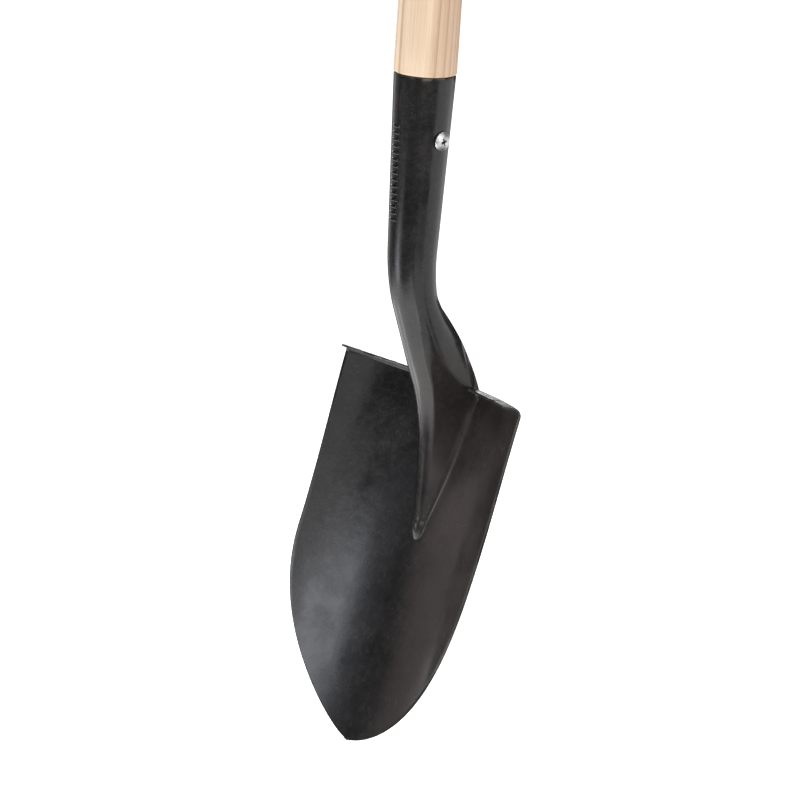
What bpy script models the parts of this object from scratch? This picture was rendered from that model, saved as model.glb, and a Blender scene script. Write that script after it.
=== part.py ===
"""Long-handled garden spade with a round-pointed blade, held blade down.

Three separate pieces: the pressed steel head, the ash shaft and the screw that keeps the shaft in
the head's socket. Metres. +Z runs up the shaft and the hollow front of the blade faces -Y. The
origin is on the shaft's centre line, where a wall clip grips it.
"""

from math import acos, asin, cos, pi, radians, sin, sqrt, tan

import bmesh
import bpy
import numpy as np
from mathutils import Matrix, Vector

# Places along the shaft.
RIM_Z = -0.800  # top edge of the steel socket
BUTT_Z = 0.250  # far end of the shaft

# Sheet steel of the head.
SHEET = 0.0016

# Socket: a cone rolled from the sheet, whose edges meet along a seam at the back.
SOCKET_RADIUS = 0.0197  # middle of the sheet, at the rim
SOCKET_TAPER = 0.034  # radius lost for each metre below the rim
SEAM_HALF_GAP = 0.0004

# Neck: the socket bends back, and its seam opens into two cheeks.
BEND_START = 0.118  # below the rim
BEND_RADIUS = 0.125
BEND_ANGLE = radians(17.5)
OPENING_START = 0.152  # below the rim
OPENING_HELD = 0.03  # share of the opening that the seam holds back, which leaves a kink at its end
TILT_START = 0.150  # where the cross sections begin to turn towards the blade's own

# Blade, measured along its centre line from the crease under the treads.
CREASE_Y = 0.0536
CREASE_BELOW_RIM = 0.2163
BLADE_LENGTH = 0.255
LEAN_TOP = radians(16.5)
LEAN_TIP = radians(19.9)
CENTRE_LINE_STEPS = 32
HALF_WIDTH_TOP = 0.0940
HALF_WIDTH_SHOULDER = 0.0924
SHOULDER = 0.1275  # where the straight sides turn into the pointed arch
ARCH_FULLNESS = 2.10
ARCH_POWER = 0.69
DISH_TOP = 3.30  # height of the dish over the square of the distance from the centre line
DISH_LOW = 2.85

# Frog: the hollow ridge that carries the neck down into the blade.
FROG_LENGTH = 0.111
FROG_HEIGHT = 0.0345  # of the straight ridge, at the crease
FROG_ROOT_HEIGHT = 0.0130  # what the neck adds to it there
FROG_ROOT_POWER = 5
FROG_WALL = radians(77)
FROG_WALL_LOW = radians(58)
FROG_CREST_RADIUS = 0.0130
FROG_CREST_RADIUS_LOW = 0.0042
FROG_FOOT_RADIUS = 0.0035
FROG_FOOT_RADIUS_MIDDLE = 0.0070
FROG_FOOT_RADIUS_LOW = 0.0035
FOOT_WIDE_FROM = 0.25  # shares of the ridge's length between which its foot is roundest
FOOT_WIDE_TO = 0.4
WALL_EASED_BY = 0.8  # share of the length by which the wall has its lower slope
BULB_AT = 0.1040
BULB_LENGTH = 0.0070
BULB_HEIGHT = 0.0018
STRIP_HALF_WIDTH = 0.0075  # least half width of the strip of the blade that holds the ridge
STRIP_WIDENING = 0.2  # how fast the strip widens below the ridge
STRIP_MOST = 0.45  # the most of the blade's half width that it takes

# Treads: the blade's top edge turned forward to stand on.
TREAD_BEND_RADIUS = 0.0050
TREAD_BEND_START = 0.0060  # below the crease
TREAD_TURN = radians(97)
TREAD_FLAT = 0.0072
TREAD_SLIT = 0.0010  # between the tread's inner end and the cheek beside it

# Shaft.
SHAFT_RADIUS = 0.0210
SHAFT_RADIUS_BUTT = 0.0182
BUTT_ROUNDING = 0.0062
TAPER_FROM = 0.020  # above the rim, where the shaft starts to taper to its butt
SHOULDER_GAP = 0.0006  # between the socket's rim and the shoulder of the shaft
TENON_CLEARANCE = 0.0006
TENON_STRAIGHT = 0.095  # below the rim
TENON_END = 0.122
TENON_END_RADIUS = 0.0095

# Screw, in through the right side of the socket.
SCREW_BELOW_RIM = 0.0422
SCREW_TURN = radians(8)  # how far behind the middle of that side it is
SCREW_HEAD_RADIUS = 0.0065
SCREW_HEAD_HEIGHT = 0.0024
SCREW_HEAD_EDGE = 0.0007
SCREW_SHANK_RADIUS = 0.0022
SCREW_LENGTH = 0.024
SCREW_POINT = 0.004
SHEET_HOLE_RADIUS = 0.0028
SHEET_HOLE_FROM = 0.010  # from the shaft's centre line
PILOT_HOLE_RADIUS = 0.0025
PILOT_HOLE_FROM = -0.0065
HOLES_TO = 0.030
RECESS_HALF_LENGTH = 0.0033
RECESS_HALF_WIDTH = 0.0006
RECESS_DEPTH = 0.0016
RECESS_FLOOR_LENGTH = 0.40  # shares of the mouth's length and width
RECESS_FLOOR_WIDTH = 0.70
RECESS_ABOVE = 0.001
HEAD_STANDOFF = 0.0006  # under the screw's flat head, on the tapering socket

# How finely the sheet is divided.
CREST_COLUMNS = 4
WALL_COLUMNS = 7
FOOT_COLUMNS = 3
WING_COLUMNS = 7
NECK_COLUMNS = CREST_COLUMNS + WALL_COLUMNS + FOOT_COLUMNS
NECK_ROWS = 22
FROG_ROWS = 15
LOWER_ROWS = 11
TREAD_BEND_ROWS = 5
TREAD_FLAT_ROWS = 1
SHAFT_SEGMENTS = 40
SCREW_SEGMENTS = 32
HOLE_SEGMENTS = 24
BUTT_ROWS = 5
DOME_ROWS = 4
MIRROR_MERGE = 0.00005
SHARP_ANGLE = radians(40)
TINY = 1e-9


def clear_scene():
    for obj in list(bpy.data.objects):
        bpy.data.objects.remove(obj, do_unlink=True)


def material(name, color, roughness, metallic):
    made = bpy.data.materials.new(name)
    made.use_nodes = True
    shader = made.node_tree.nodes["Principled BSDF"]
    shader.inputs["Base Color"].default_value = (*color, 1.0)
    shader.inputs["Roughness"].default_value = roughness
    shader.inputs["Metallic"].default_value = metallic
    return made


def add_object(name, mesh_builder, surface=None):
    """One mesh object from a bmesh, shaded smooth with its real corners kept sharp."""
    mesh = bpy.data.meshes.new(name)
    mesh_builder.to_mesh(mesh)
    mesh_builder.free()
    mesh.shade_smooth()
    mesh.set_sharp_from_angle(angle=SHARP_ANGLE)
    obj = bpy.data.objects.new(name, mesh)
    bpy.context.scene.collection.objects.link(obj)
    if surface:
        mesh.materials.append(surface)
    return obj


def ease(value, start, end):
    """0 before start, 1 after end, and a smooth step between them."""
    share = min(1.0, max(0.0, (value - start) / (end - start)))
    return share * share * (3 - 2 * share)


def mix(first, second, share):
    return first + (second - first) * share


def lean(along):
    return mix(LEAN_TOP, LEAN_TIP, along / BLADE_LENGTH)


def blade_centre(along):
    """(y, z) of the blade's centre line, which curls forward, at this distance from the crease."""
    shares = (np.arange(CENTRE_LINE_STEPS) + 0.5) / CENTRE_LINE_STEPS
    angles = lean(along * shares)
    y = CREASE_Y - along * np.sin(angles).mean()
    z = RIM_Z - CREASE_BELOW_RIM - along * np.cos(angles).mean()
    return float(y), float(z)


def half_width(along):
    if along < SHOULDER:
        return mix(HALF_WIDTH_TOP, HALF_WIDTH_SHOULDER, along / SHOULDER)
    share = min(1.0, (along - SHOULDER) / (BLADE_LENGTH - SHOULDER))
    return HALF_WIDTH_SHOULDER * (1 - share**ARCH_FULLNESS) ** ARCH_POWER


def dish(x, along):
    """How far the blade's surface stands forward of its centre line."""
    return mix(DISH_TOP, DISH_LOW, ease(along, 0, SHOULDER)) * x * x


def frog_height(along):
    if along >= FROG_LENGTH:
        return 0.0
    left = 1 - along / FROG_LENGTH
    ridge = FROG_HEIGHT * left + FROG_ROOT_HEIGHT * left**FROG_ROOT_POWER
    bulb = BULB_HEIGHT * max(0.0, 1 - ((along - BULB_AT) / BULB_LENGTH) ** 2)
    return ridge + bulb


def frog_section(along):
    """Arrays x and height of the ridge across the blade: round crest, flat wall, round foot."""
    share = min(1.0, along / FROG_LENGTH)
    height = frog_height(along)
    crest = mix(FROG_CREST_RADIUS, FROG_CREST_RADIUS_LOW, sqrt(share))
    foot = mix(FROG_FOOT_RADIUS, FROG_FOOT_RADIUS_MIDDLE, ease(share, 0, FOOT_WIDE_FROM))
    foot = mix(foot, FROG_FOOT_RADIUS_LOW, ease(share, FOOT_WIDE_TO, 1.0))
    steepest = mix(FROG_WALL, FROG_WALL_LOW, ease(share, 0, WALL_EASED_BY))
    turn = min(steepest, acos(max(-1.0, 1 - height / (crest + foot))))
    rounds = (crest + foot) * (1 - cos(turn))
    wall = (height - rounds) / max(sin(turn), TINY)
    x, up = [], []
    for i in range(CREST_COLUMNS + 1):
        angle = turn * i / CREST_COLUMNS
        x.append(crest * sin(angle))
        up.append(height - crest * (1 - cos(angle)))
    for i in range(1, WALL_COLUMNS + 1):
        run = wall * i / WALL_COLUMNS
        x.append(crest * sin(turn) + run * cos(turn))
        up.append(height - crest * (1 - cos(turn)) - run * sin(turn))
    wall_foot = x[-1]
    for i in range(1, FOOT_COLUMNS + 1):
        angle = turn * (1 - i / FOOT_COLUMNS)
        x.append(wall_foot + foot * (sin(turn) - sin(angle)))
        up.append(foot * (1 - cos(angle)))
    return np.array(x), np.array(up)


def blade_section(along):
    """Arrays x and height of the right half of the blade, from the centre line to the side edge."""
    x, up = frog_section(along)
    width = half_width(along)
    below_frog = max(0.0, along - FROG_LENGTH)
    strip = min(STRIP_HALF_WIDTH + STRIP_WIDENING * below_frog, STRIP_MOST * width)
    if x[-1] < strip:
        widened = x + (strip - x[-1]) * np.linspace(0, 1, len(x))
        up = np.interp(widened, x + np.linspace(0, TINY, len(x)), up)
        x = widened
    wing = np.linspace(x[-1] + min(TREAD_SLIT, width - x[-1]), width, WING_COLUMNS + 1)
    x = np.concatenate([x, wing])
    up = np.concatenate([up, np.zeros(len(wing))])
    return x, up + dish(x, along)


def blade_row(along):
    y, z = blade_centre(along)
    forward = Vector((0, -cos(lean(along)), sin(lean(along))))
    x, up = blade_section(along)
    return [Vector((across, y, z)) + forward * float(height) for across, height in zip(x, up)]


def neck_offset(below_rim):
    """(how far back the neck's centre line is, its slope angle) at this depth below the rim."""
    run = below_rim - BEND_START
    if run <= 0:
        return 0.0, 0.0
    arc_run = BEND_RADIUS * sin(BEND_ANGLE)
    if run < arc_run:
        angle = asin(run / BEND_RADIUS)
        return BEND_RADIUS * (1 - cos(angle)), angle
    return BEND_RADIUS * (1 - cos(BEND_ANGLE)) + (run - arc_run) * tan(BEND_ANGLE), BEND_ANGLE


def socket_radius(below_rim):
    return SOCKET_RADIUS - SOCKET_TAPER * below_rim


def neck_front(below_rim):
    """y of the front of the round neck."""
    back, slope = neck_offset(below_rim)
    return back - socket_radius(below_rim) / cos(slope)


def neck_row(below_rim, frog_top):
    """Half a cross section of the neck, with its crest this far below the rim.

    It is a circle that opens into the arch of the frog as it comes down to the blade.
    """
    top_x, top_up = frog_section(TREAD_BEND_START)
    steps = np.hypot(np.diff(top_x), np.diff(top_up))
    shares = np.concatenate([[0], np.cumsum(steps)]) / steps.sum()
    crest = np.linspace(0, FROG_WALL, CREST_COLUMNS + 1)
    wall = np.full(WALL_COLUMNS, FROG_WALL)
    foot = np.linspace(FROG_WALL, 0, FOOT_COLUMNS + 1)[1:]
    arch = np.concatenate([crest, wall, foot])
    frog_below_rim = RIM_Z - frog_top.z
    opening = ease(below_rim, OPENING_START, frog_below_rim)
    opening = max(0.0, opening - OPENING_HELD) / (1 - OPENING_HELD)
    radius = socket_radius(below_rim)
    circle = pi * shares * (1 - SEAM_HALF_GAP / (pi * radius))
    turned = mix(circle, arch, opening)
    length = mix(pi * radius, steps.sum(), opening)
    chords = length * np.diff(shares) * np.sinc(np.diff(turned) / (2 * pi))
    headings = (turned[1:] + turned[:-1]) / 2
    x = np.concatenate([[0], np.cumsum(chords * np.cos(headings))])
    depth = np.concatenate([[0], np.cumsum(chords * np.sin(headings))])
    depth = depth - opening * dish(x, TREAD_BEND_START)
    run_in = max(0.0, (below_rim - TILT_START) / (frog_below_rim - TILT_START))
    correction = (frog_top.y - neck_front(frog_below_rim)) * run_in**2
    front = Vector((0, neck_front(below_rim) + correction, RIM_Z - below_rim))
    tilt = mix(-neck_offset(below_rim)[1], LEAN_TOP, ease(below_rim, TILT_START, frog_below_rim))
    backward = Vector((0, cos(tilt), -sin(tilt)))
    return [front + backward * float(b) + Vector((float(a), 0, 0)) for a, b in zip(x, depth)]


def tread_column(base, tangent, up_direction):
    """Points from the blade's top row up round the bend and forward to the tread's front edge."""
    normal = up_direction.cross(tangent).normalized()
    if normal.y > 0:
        normal.negate()
    points = []
    for i in range(1, TREAD_BEND_ROWS + 1):
        angle = TREAD_TURN * i / TREAD_BEND_ROWS
        up = up_direction * (TREAD_BEND_RADIUS * sin(angle))
        points.append(base + up + normal * (TREAD_BEND_RADIUS * (1 - cos(angle))))
    direction = up_direction * cos(TREAD_TURN) + normal * sin(TREAD_TURN)
    bent = points[-1]
    for i in range(1, TREAD_FLAT_ROWS + 1):
        points.append(bent + direction * (TREAD_FLAT * i / TREAD_FLAT_ROWS))
    return points


def add_grid(builder, rows):
    """Quads between rows of bmesh vertices. A row of one vertex closes the grid to a point."""
    for upper, lower in zip(rows, rows[1:]):
        for i in range(len(upper) - 1):
            if len(lower) == 1:
                builder.faces.new((upper[i], lower[0], upper[i + 1]))
            else:
                builder.faces.new((upper[i], lower[i], lower[i + 1], upper[i + 1]))


def head_rows():
    """Distances down the blade of its mesh rows, close together at the ridge's end and at the tip."""
    frog = TREAD_BEND_START + (FROG_LENGTH - TREAD_BEND_START) * np.sin(
        np.linspace(0, pi / 2, FROG_ROWS + 1)
    )
    share = np.linspace(0, 1, LOWER_ROWS + 1)[1:]
    lower = FROG_LENGTH + (BLADE_LENGTH - FROG_LENGTH) * np.sin(share * pi / 2)
    return [float(along) for along in np.concatenate([frog, lower])]


def head_sheet():
    """The right half of the head as one open surface: socket, neck, frog, blade and tread."""
    builder = bmesh.new()
    rows = []
    for along in head_rows():
        points = blade_row(along)
        if along >= BLADE_LENGTH:
            points = points[:1]
        rows.append([builder.verts.new(point) for point in points])
    add_grid(builder, rows)
    top_points = [vertex.co.copy() for vertex in rows[0]]

    frog_top = top_points[0]
    depths = np.linspace(0, RIM_Z - frog_top.z, NECK_ROWS + 1)[:-1]
    neck = [[builder.verts.new(p) for p in neck_row(float(d), frog_top)] for d in depths]
    add_grid(builder, neck + [rows[0][: NECK_COLUMNS + 1]])

    first = NECK_COLUMNS + 1
    up_direction = Vector((0, sin(LEAN_TOP), cos(LEAN_TOP)))
    columns = []
    for i in range(first, len(top_points)):
        ahead = top_points[min(i + 1, len(top_points) - 1)]
        tangent = (ahead - top_points[max(i - 1, first)]).normalized()
        made = tread_column(top_points[i], tangent, up_direction)
        columns.append([rows[0][i]] + [builder.verts.new(point) for point in made])
    tread = [list(row) for row in zip(*columns)]
    add_grid(builder, tread[::-1])
    return builder


def turned_piece(profile, segments):
    """A solid turned round +Z from (radius, height) points that start and end on the axis."""
    builder = bmesh.new()
    rings = []
    for radius, height in profile:
        if radius == 0:
            rings.append([builder.verts.new((0, 0, height))])
            continue
        ring = []
        for i in range(segments):
            angle = 2 * pi * i / segments
            ring.append(builder.verts.new((radius * cos(angle), radius * sin(angle), height)))
        rings.append(ring)
    for upper, lower in zip(rings, rings[1:]):
        for i in range(segments):
            j = (i + 1) % segments
            corners = [upper[i % len(upper)], lower[i % len(lower)]]
            corners += [lower[j % len(lower)], upper[j % len(upper)]]
            builder.faces.new(list(dict.fromkeys(corners)))
    return builder


def cylinder_cutter(name, radius, start, end):
    """A hidden cylinder along the screw, which starts and ends this far from the shaft's axis."""
    profile = [(0, end), (radius, end), (radius, start), (0, start)]
    builder = turned_piece(profile, HOLE_SEGMENTS)
    builder.transform(Matrix.Rotation(pi / 2, 4, "Y"))
    cutter = add_object(name, builder)
    cutter.location = (0, 0, RIM_Z - SCREW_BELOW_RIM)
    cutter.rotation_euler = (0, 0, SCREW_TURN)
    cutter.hide_render = True
    cutter.display_type = "WIRE"
    return cutter


def cut(target, cutter):
    modifier = target.modifiers.new(cutter.name, "BOOLEAN")
    modifier.operation = "DIFFERENCE"
    modifier.solver = "EXACT"
    modifier.object = cutter


def make_head(paint):
    head = add_object("steel_head", head_sheet(), paint)
    mirror = head.modifiers.new("other_half", "MIRROR")
    mirror.use_axis = (True, False, False)
    mirror.merge_threshold = MIRROR_MERGE
    sheet = head.modifiers.new("sheet", "SOLIDIFY")
    sheet.thickness = SHEET
    sheet.offset = 0
    sheet.use_even_offset = True
    cut(head, cylinder_cutter("sheet_hole", SHEET_HOLE_RADIUS, SHEET_HOLE_FROM, HOLES_TO))
    return head


def shaft_profile():
    """(radius, height) from the butt to the tenon's end, inside the socket."""
    profile = [(0, BUTT_Z), (SHAFT_RADIUS_BUTT - BUTT_ROUNDING, BUTT_Z)]
    for i in range(1, BUTT_ROWS + 1):
        angle = pi / 2 * i / BUTT_ROWS
        radius = SHAFT_RADIUS_BUTT - BUTT_ROUNDING * (1 - sin(angle))
        profile.append((radius, BUTT_Z - BUTT_ROUNDING * (1 - cos(angle))))
    profile.append((SHAFT_RADIUS, RIM_Z + TAPER_FROM))
    profile.append((SHAFT_RADIUS, RIM_Z + SHOULDER_GAP))
    inside = SHEET / 2 + TENON_CLEARANCE
    profile.append((socket_radius(0) - inside, RIM_Z + SHOULDER_GAP))
    for depth in (SCREW_BELOW_RIM, TENON_STRAIGHT):
        profile.append((socket_radius(depth) - inside, RIM_Z - depth))
    profile.append((TENON_END_RADIUS, RIM_Z - TENON_END))
    profile.append((0, RIM_Z - TENON_END))
    return profile


def make_shaft(wood):
    shaft = add_object("shaft", turned_piece(shaft_profile(), SHAFT_SEGMENTS), wood)
    cut(shaft, cylinder_cutter("pilot_hole", PILOT_HOLE_RADIUS, PILOT_HOLE_FROM, HOLES_TO))
    return shaft


def screw_profile():
    """(radius, distance along the screw) from the middle of the head's dome to the point."""
    dome_height = SCREW_HEAD_HEIGHT - SCREW_HEAD_EDGE
    dome_radius = (SCREW_HEAD_RADIUS**2 + dome_height**2) / (2 * dome_height)
    profile = [(0, SCREW_HEAD_HEIGHT)]
    for i in range(1, DOME_ROWS + 1):
        radius = SCREW_HEAD_RADIUS * i / DOME_ROWS
        drop = dome_radius - sqrt(dome_radius**2 - radius**2)
        profile.append((radius, SCREW_HEAD_HEIGHT - drop))
    profile.append((SCREW_HEAD_RADIUS, 0))
    profile.append((SCREW_SHANK_RADIUS, 0))
    profile.append((SCREW_SHANK_RADIUS, SCREW_POINT - SCREW_LENGTH))
    profile.append((0, -SCREW_LENGTH))
    return profile


def cross_outline(long, short, height):
    """The corners of a cross with arms this long and half this wide, anticlockwise."""
    corners = []
    for quarter in range(4):
        turn = Matrix.Rotation(quarter * pi / 2, 3, "Z")
        for corner in ((long, -short), (long, short), (short, short)):
            corners.append(turn @ Vector((*corner, height)))
    return corners


def recess_cutter():
    """The cross recess of the screw's head, narrower at its floor."""
    builder = bmesh.new()
    long, short = RECESS_HALF_LENGTH, RECESS_HALF_WIDTH
    top = cross_outline(long, short, SCREW_HEAD_HEIGHT + RECESS_ABOVE)
    long, short = long * RECESS_FLOOR_LENGTH, short * RECESS_FLOOR_WIDTH
    bottom = cross_outline(long, short, SCREW_HEAD_HEIGHT - RECESS_DEPTH)
    mouth = [builder.verts.new(point) for point in top]
    floor = [builder.verts.new(point) for point in bottom]
    builder.faces.new(mouth)
    builder.faces.new(floor[::-1])
    for i in range(len(mouth)):
        j = (i + 1) % len(mouth)
        builder.faces.new((mouth[i], floor[i], floor[j], mouth[j]))
    cutter = add_object("cross_recess", builder)
    cutter.hide_render = True
    cutter.display_type = "WIRE"
    return cutter


def make_screw(zinc):
    screw = add_object("socket_screw", turned_piece(screw_profile(), SCREW_SEGMENTS), zinc)
    cutter = recess_cutter()
    cut(screw, cutter)
    outside = socket_radius(SCREW_BELOW_RIM) + SHEET / 2 + HEAD_STANDOFF
    height = RIM_Z - SCREW_BELOW_RIM
    for obj in (screw, cutter):
        obj.rotation_euler = (0, pi / 2, SCREW_TURN)
        obj.location = (outside * cos(SCREW_TURN), outside * sin(SCREW_TURN), height)
    return screw


def main():
    clear_scene()
    make_head(material("black_paint", (0.018, 0.018, 0.020), 0.42, 0.0))
    make_shaft(material("ash_wood", (0.72, 0.50, 0.30), 0.55, 0.0))
    make_screw(material("zinc_plate", (0.75, 0.76, 0.78), 0.28, 1.0))


main()
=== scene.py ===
"""Looks for the long-handled garden spade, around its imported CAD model.

Finely divided meshes of the same shapes and sizes stand for the three CAD pieces. Plain raised bars
are added to the socket, and every surface gets a procedural material. Metres, in the CAD's frame:
+Z runs up the shaft and the hollow front of the blade faces -Y.
"""

from math import acos, asin, cos, pi, radians, sin, sqrt, tan

import bmesh
import bpy
import numpy as np
from mathutils import Matrix, Vector, kdtree, noise


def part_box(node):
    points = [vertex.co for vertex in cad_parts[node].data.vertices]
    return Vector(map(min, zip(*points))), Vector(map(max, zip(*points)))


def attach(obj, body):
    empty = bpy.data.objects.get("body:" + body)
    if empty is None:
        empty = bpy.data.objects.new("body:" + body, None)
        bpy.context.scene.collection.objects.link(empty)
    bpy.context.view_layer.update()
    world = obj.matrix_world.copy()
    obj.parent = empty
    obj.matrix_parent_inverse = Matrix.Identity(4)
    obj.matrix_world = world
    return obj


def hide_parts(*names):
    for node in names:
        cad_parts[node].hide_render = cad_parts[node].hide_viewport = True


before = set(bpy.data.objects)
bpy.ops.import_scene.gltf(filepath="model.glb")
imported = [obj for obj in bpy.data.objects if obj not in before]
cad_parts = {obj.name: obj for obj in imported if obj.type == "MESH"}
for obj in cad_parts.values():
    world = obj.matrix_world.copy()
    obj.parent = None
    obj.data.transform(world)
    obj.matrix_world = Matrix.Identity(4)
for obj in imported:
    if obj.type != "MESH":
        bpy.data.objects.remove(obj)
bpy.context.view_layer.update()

# Places that come from the CAD model.
RIM_Z = round(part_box("steel_head")[1].z, 3)  # top edge of the steel socket
BUTT_Z = round(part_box("shaft")[1].z, 3)  # far end of the shaft
TIP_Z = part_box("steel_head")[0].z
SCREW_LOW, SCREW_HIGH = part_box("socket_screw")
SCREW_Z = (SCREW_LOW.z + SCREW_HIGH.z) / 2
SCREW_TURN = radians(8)  # how far it is behind the middle of the right side
SCREW_BELOW_RIM = RIM_Z - SCREW_Z

# Camera, at the photograph's viewing angle.
CAMERA_AZIMUTH = radians(51.0)  # from -Y towards +X
CAMERA_ELEVATION = radians(14.926)
CAMERA_ROLL = radians(4.079)
CAMERA_DISTANCE = 2.7915
CAMERA_LENS = 187.996
CAMERA_TARGET = Vector((-0.00063, -0.00078, RIM_Z - 0.2223))

# The head's shape, as in the CAD model.
SHEET = 0.0016
SOCKET_RADIUS = 0.0197
SOCKET_TAPER = 0.034
SEAM_HALF_GAP = 0.0004
BEND_START = 0.118
BEND_RADIUS = 0.125
BEND_ANGLE = radians(17.5)
OPENING_START = 0.152
OPENING_HELD = 0.03
TILT_START = 0.150
CREASE_Y = 0.0536
CREASE_BELOW_RIM = 0.2163
BLADE_LENGTH = 0.255
LEAN_TOP = radians(16.5)
LEAN_TIP = radians(19.9)
CENTRE_LINE_STEPS = 32
HALF_WIDTH_TOP = 0.0940
HALF_WIDTH_SHOULDER = 0.0924
SHOULDER = 0.1275
ARCH_FULLNESS = 2.10
ARCH_POWER = 0.69
DISH_TOP = 3.30
DISH_LOW = 2.85
FROG_LENGTH = 0.111
FROG_HEIGHT = 0.0345
FROG_ROOT_HEIGHT = 0.0130
FROG_ROOT_POWER = 5
FROG_WALL = radians(77)
FROG_WALL_LOW = radians(58)
FROG_CREST_RADIUS = 0.0130
FROG_CREST_RADIUS_LOW = 0.0042
FROG_FOOT_RADIUS = 0.0035
FROG_FOOT_RADIUS_MIDDLE = 0.0070
FROG_FOOT_RADIUS_LOW = 0.0035
FOOT_WIDE_FROM = 0.25
FOOT_WIDE_TO = 0.4
WALL_EASED_BY = 0.8
BULB_AT = 0.1040
BULB_LENGTH = 0.0070
BULB_HEIGHT = 0.0018
STRIP_HALF_WIDTH = 0.0075
STRIP_WIDENING = 0.2
STRIP_MOST = 0.45
TREAD_BEND_RADIUS = 0.0050
TREAD_BEND_START = 0.0060
TREAD_TURN = radians(97)
TREAD_FLAT = 0.0072
TREAD_SLIT = 0.0010

# How finely the sheet is divided.
CREST_COLUMNS = 10
WALL_COLUMNS = 16
FOOT_COLUMNS = 8
WING_COLUMNS = 30
NECK_COLUMNS = CREST_COLUMNS + WALL_COLUMNS + FOOT_COLUMNS
NECK_ROWS = 76
FROG_ROWS = 52
LOWER_ROWS = 46
TREAD_BEND_ROWS = 12
TREAD_FLAT_ROWS = 6
MERGE = 0.00005
TINY = 1e-9

# What pressing and handling leave in the sheet.
DENT_SIZE = 0.085
DENT_DEPTH = 0.00030
RIPPLE_SIZE = 0.028
RIPPLE_DEPTH = 0.00005
DENTS_FADE = 0.03  # they fade out from this far below the crease to this far above it
EDGE_ROUNDING = 0.00035
ROUNDED_FROM = radians(50)
SHARP_FROM = radians(40)

# Plain raised bars down the front of the socket.
BAR_COUNT = 15
BAR_FIRST = 0.0345  # below the rim
BAR_PITCH = 0.0045
BAR_AZIMUTH = radians(-4)  # from -Y towards +X
BAR_HALF_LENGTH = 0.0048  # round the socket
BAR_HALF_WIDTH = 0.0009
BAR_HEIGHT = 0.0009
BAR_ROOT = 0.0004  # sunk into the sheet
BAR_END_ROUNDING = 0.18
BAR_COLUMNS = 16
BAR_ROWS = 8

# Shaft, as in the CAD model, with its corners eased.
SHAFT_RADIUS = 0.0210
SHAFT_RADIUS_BUTT = 0.0182
BUTT_ROUNDING = 0.0062
TAPER_FROM = 0.020
SHOULDER_GAP = 0.0006
SHOULDER_ROUNDING = 0.0009
TENON_CLEARANCE = 0.0006
TENON_STRAIGHT = 0.095
TENON_END = 0.122
TENON_END_RADIUS = 0.0095
PILOT_HOLE_RADIUS = 0.0025
PILOT_HOLE_FROM = -0.0065
SHEET_HOLE_RADIUS = 0.0028
SHEET_HOLE_FROM = 0.010
HOLES_TO = 0.030
SHAFT_SEGMENTS = 144
SHAFT_ROWS = 150
BUTT_ROWS = 12
SHOULDER_ROWS = 4
TURNING_WAVE = 0.00008  # how far the turned surface wanders
WAVES_ACROSS = 18  # waves of it per metre
WAVES_ALONG = 11

# Screw, as in the CAD model.
SCREW_HEAD_RADIUS = 0.0065
SCREW_HEAD_HEIGHT = 0.0024
SCREW_HEAD_EDGE = 0.0007
SCREW_HEAD_ROUNDING = 0.0003
SCREW_SHANK_RADIUS = 0.0022
SCREW_LENGTH = 0.024
SCREW_POINT = 0.004
HEAD_STANDOFF = 0.0006
RECESS_HALF_LENGTH = 0.0036
RECESS_HALF_WIDTH = 0.0011
RECESS_DEPTH = 0.0022
RECESS_FLOOR_LENGTH = 0.35
RECESS_FLOOR_WIDTH = 0.55
RECESS_ABOVE = 0.001
RECESS_TURN = radians(20)
# Depth under the dome over which the painted shade in the recess sets in.
RECESS_SHADE_FROM = 0.00015
RECESS_SHADE_TO = 0.0006
SCREW_SEGMENTS = 96
DOME_ROWS = 14
HOLE_SEGMENTS = 48

# Paint.
PAINT_SMOOTHEST = 0.15
PAINT_ROUGHEST = 0.26
PAINT_DARKEST = (0.0045, 0.0047, 0.0053, 1)
PAINT_PALEST = (0.0190, 0.0186, 0.0184, 1)
RUB_COLOR = (0.060, 0.060, 0.062, 1)
FLECK_COLOR = (0.160, 0.155, 0.150, 1)
WORN_COLOR = (0.100, 0.095, 0.090, 1)
GRIME_COLOR = (0.052, 0.049, 0.047, 1)
GRIME_MOST = 0.22
# A lighter film lies on the right wing: dust, and painted light for light the wing gets. It fades in
# across the blade and up it, and out at the neck.
DUST_AND_PAINTED_LIGHT_COLOR = (0.044, 0.038, 0.036, 1)
DUST_AND_PAINTED_LIGHT_SIDE = (-0.008, 0.016)
DUST_AND_PAINTED_LIGHT_FOOT = (RIM_Z - 0.430, RIM_Z - 0.290)
DUST_AND_PAINTED_LIGHT_TOP = (RIM_Z - 0.200, RIM_Z - 0.165)

# Wood. The growth rings' centre is outside the bar, so the rings cross it as wide arcs.
RING_CENTRE = (-0.034, 0.052)
RING_WIDTH = 0.0034
RING_STOPS = [
    (0.00, (0.508, 0.346, 0.220)),
    (0.10, (0.610, 0.428, 0.285)),
    (0.30, (0.813, 0.625, 0.446)),
    (0.70, (0.873, 0.698, 0.520)),
    (0.96, (0.813, 0.620, 0.440)),
    (1.00, (0.508, 0.346, 0.220)),
]
FIBRE_COLOR = (0.671, 0.491, 0.338, 1)
ZONE_COLOR = (0.629, 0.455, 0.354, 1)
PORE_COLOR = (0.305, 0.191, 0.112, 1)
# The bar's back right side is darker: darker wood, and painted shade on that side. The colour sets in
# along this direction across the bar, over this stretch measured from the rings' centre, with a ragged
# border.
DARK_WOOD_AND_SHADE_COLOR = (0.390, 0.250, 0.162, 1)
DARK_WOOD_AND_SHADE_TOWARDS = (0.63, 0.78)
DARK_WOOD_AND_SHADE_FROM = -0.014
DARK_WOOD_AND_SHADE_TO = -0.001
DARK_WOOD_AND_SHADE_RAGGED = 0.014

# Zinc.
ZINC_DARKEST = (0.82, 0.83, 0.84, 1)
ZINC_PALEST = (0.95, 0.955, 0.96, 1)
# Painted shade down in the screw's recess.
RECESS_SHADE_COLOR = (0.040, 0.042, 0.040, 1)

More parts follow.
